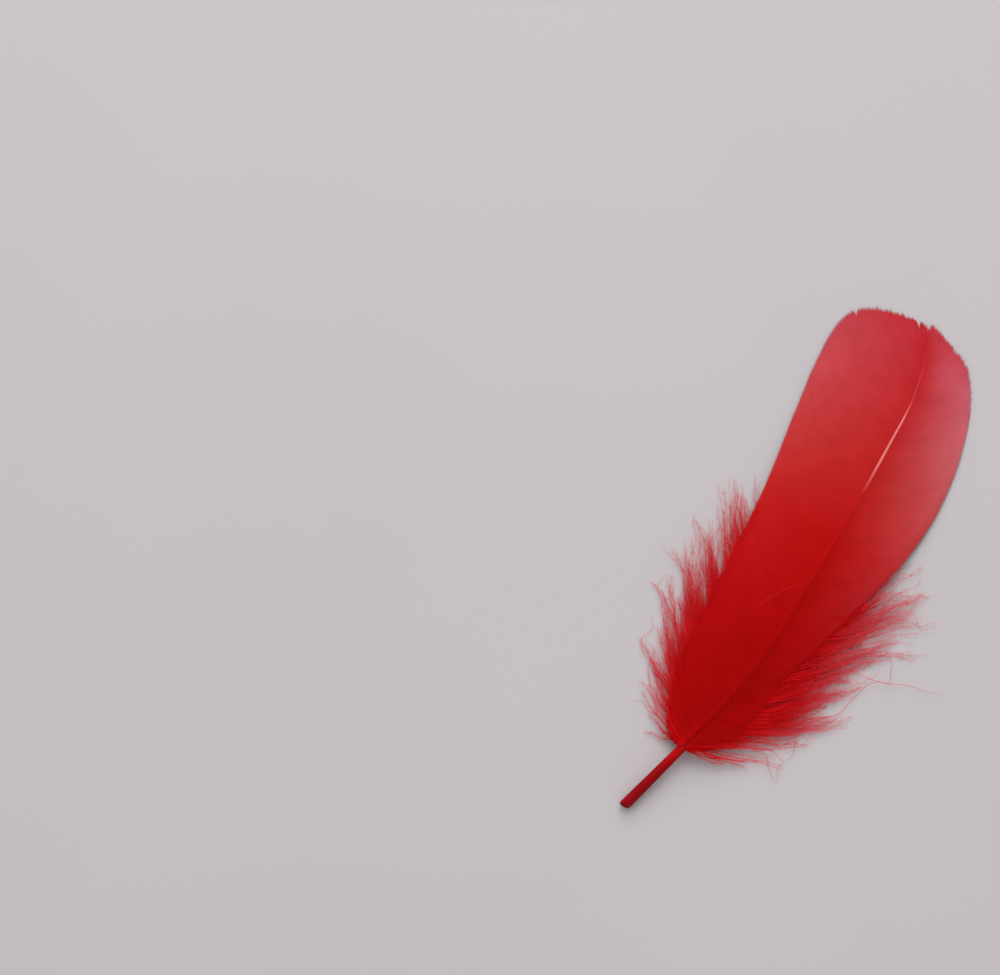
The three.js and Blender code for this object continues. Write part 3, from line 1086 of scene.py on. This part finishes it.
def hair_piece(name, node, routes, heights, wide, pale, seed, material):
    """Single loose hairs along the listed routes. wide is half their width."""
    rng = np.random.default_rng(seed)
    shares = np.linspace(0, 1, LOOSE_HAIR_RINGS)
    plan = np.stack([rounded(route, LOOSE_HAIR_RINGS) for route in routes])
    rise = LOOSE_HAIR_RISE * np.sin(shares * 7 + rng.random((len(routes), 1)) * 6)
    height = np.asarray(heights, float)[:, None] + rise
    lines = np.concatenate([plan, np.maximum(height, LOOSE_HAIR_LOWEST)[..., None]], -1)
    size = np.broadcast_to(wide * (1 - LOOSE_HAIR_TAPER * shares ** 3), height.shape)
    points, faces = strips(lines, size, size, STRAND_SECTION)
    values = {
        "pale": spread(np.full(len(routes), pale), points),
        "strand": spread(rng.random(len(routes)), points),
    }
    add_piece(name, node, points, faces, values, material)


# Plan point under the middle of the picture, how far the picture's width reaches, and how
# far the feather leans to the right in it. The camera's height is in metres.
VIEW_MIDDLE = (-71.2, 53.3)
VIEW_WIDTH = 261
VIEW_TURN = math.radians(31.83)
CAMERA_HEIGHT = 1.2
SENSOR = 36

# The floor and the lights, in metres: half the floor's side, how far the window is to the
# right, up the picture and above the floor, its side, its power and its colour. Then the
# colour and the strength of the light from all around.
FLOOR_HALF = 1.5
WINDOW_PLACE = (0, 1.7, 1.4)
WINDOW_SIZE = 1.7
WINDOW_POWER = 39
WINDOW_COLOUR = (1, 0.985, 0.975)
ROOM_COLOUR = (1, 0.985, 0.995, 1)
ROOM_STRENGTH = 0.5


def floor():
    """The surface that the feather lies on."""
    half = FLOOR_HALF
    mesh = bpy.data.meshes.new("floor")
    corners = [(-half, -half, 0), (half, -half, 0), (half, half, 0), (-half, half, 0)]
    mesh.from_pydata(corners, [], [(0, 1, 2, 3)])
    mesh.materials.append(floor_material())
    plane = bpy.data.objects.new("floor", mesh)
    bpy.context.scene.collection.objects.link(plane)


def in_picture(right, up, height):
    """A place in metres, from distances to the right and up in the picture."""
    x = math.cos(VIEW_TURN) * right - math.sin(VIEW_TURN) * up
    y = math.sin(VIEW_TURN) * right + math.cos(VIEW_TURN) * up
    return (x, y, height)


def lamp(name, place, size, power, colour):
    """A square soft light that faces the feather."""
    data = bpy.data.lights.new(name, "AREA")
    data.shape = "SQUARE"
    data.size = size
    data.energy = power
    data.color = colour
    light = bpy.data.objects.new(name, data)
    light.location = place
    x, y, z = place
    light.rotation_euler = (math.atan2(math.hypot(x, y), z), 0, math.atan2(x, -y))
    bpy.context.scene.collection.objects.link(light)


def lights():
    """A large window beyond the top of the picture, and soft light from all around."""
    lamp("window", in_picture(*WINDOW_PLACE), WINDOW_SIZE, WINDOW_POWER, WINDOW_COLOUR)
    world = bpy.data.worlds.new("room")
    world.use_nodes = True
    background = world.node_tree.nodes["Background"]
    background.inputs["Color"].default_value = ROOM_COLOUR
    background.inputs["Strength"].default_value = ROOM_STRENGTH
    bpy.context.scene.world = world


def camera():
    """Looks straight down, as the photo does, with the whole photo's width in the frame."""
    data = bpy.data.cameras.new("camera")
    data.sensor_width = SENSOR
    data.lens = SENSOR * CAMERA_HEIGHT / (VIEW_WIDTH * MM)
    view = bpy.data.objects.new("camera", data)
    x = (VIEW_MIDDLE[0] - ORIGIN[0]) * MM
    y = (VIEW_MIDDLE[1] - ORIGIN[1]) * MM
    view.location = (x, y, CAMERA_HEIGHT)
    view.rotation_euler = (0, 0, VIEW_TURN)
    bpy.context.scene.collection.objects.link(view)
    bpy.context.scene.camera = view


camera()
vane_look = vane_material()
down_look = down_material()
shaft_piece(horn_material())
left_vane = vane_piece(
    "left_vane_barbs", "left_vane", LEFT_VANE, LEFT, LEFT_BOW, LEFT_PALE, seed=11,
    material=vane_look, slits=LEFT_SLITS, notches=LEFT_NOTCHES)
right_vane = vane_piece(
    "right_vane_barbs", "right_vane", RIGHT_VANE, RIGHT, RIGHT_BOW, RIGHT_PALE, seed=12,
    material=vane_look, curl=RIGHT_CURL)
down("left", LEFT_MASS, LEFT_TUFTS, LEFT, left_vane, seed=21, material=down_look)
down("right", RIGHT_MASS, RIGHT_TUFTS, RIGHT, right_vane, seed=31, material=down_look)
hair_piece("left_loose_hairs", "left_down", LEFT_HAIRS, LEFT_HAIR_HEIGHTS, LOOSE_HAIR_WIDTH,
           LOOSE_HAIR_PALE, seed=41, material=down_look)
hair_piece("right_loose_hairs", "right_down", RIGHT_HAIRS, RIGHT_HAIR_HEIGHTS,
           LOOSE_HAIR_WIDTH, LOOSE_HAIR_PALE, seed=42, material=down_look)
hair_piece("stray_fibre", "left_down", [FIBRE], [FIBRE_HEIGHT], FIBRE_WIDTH, FIBRE_PALE,
           seed=43, material=down_look)
floor()
lights()
bpy.context.scene.view_settings.view_transform = "Standard"
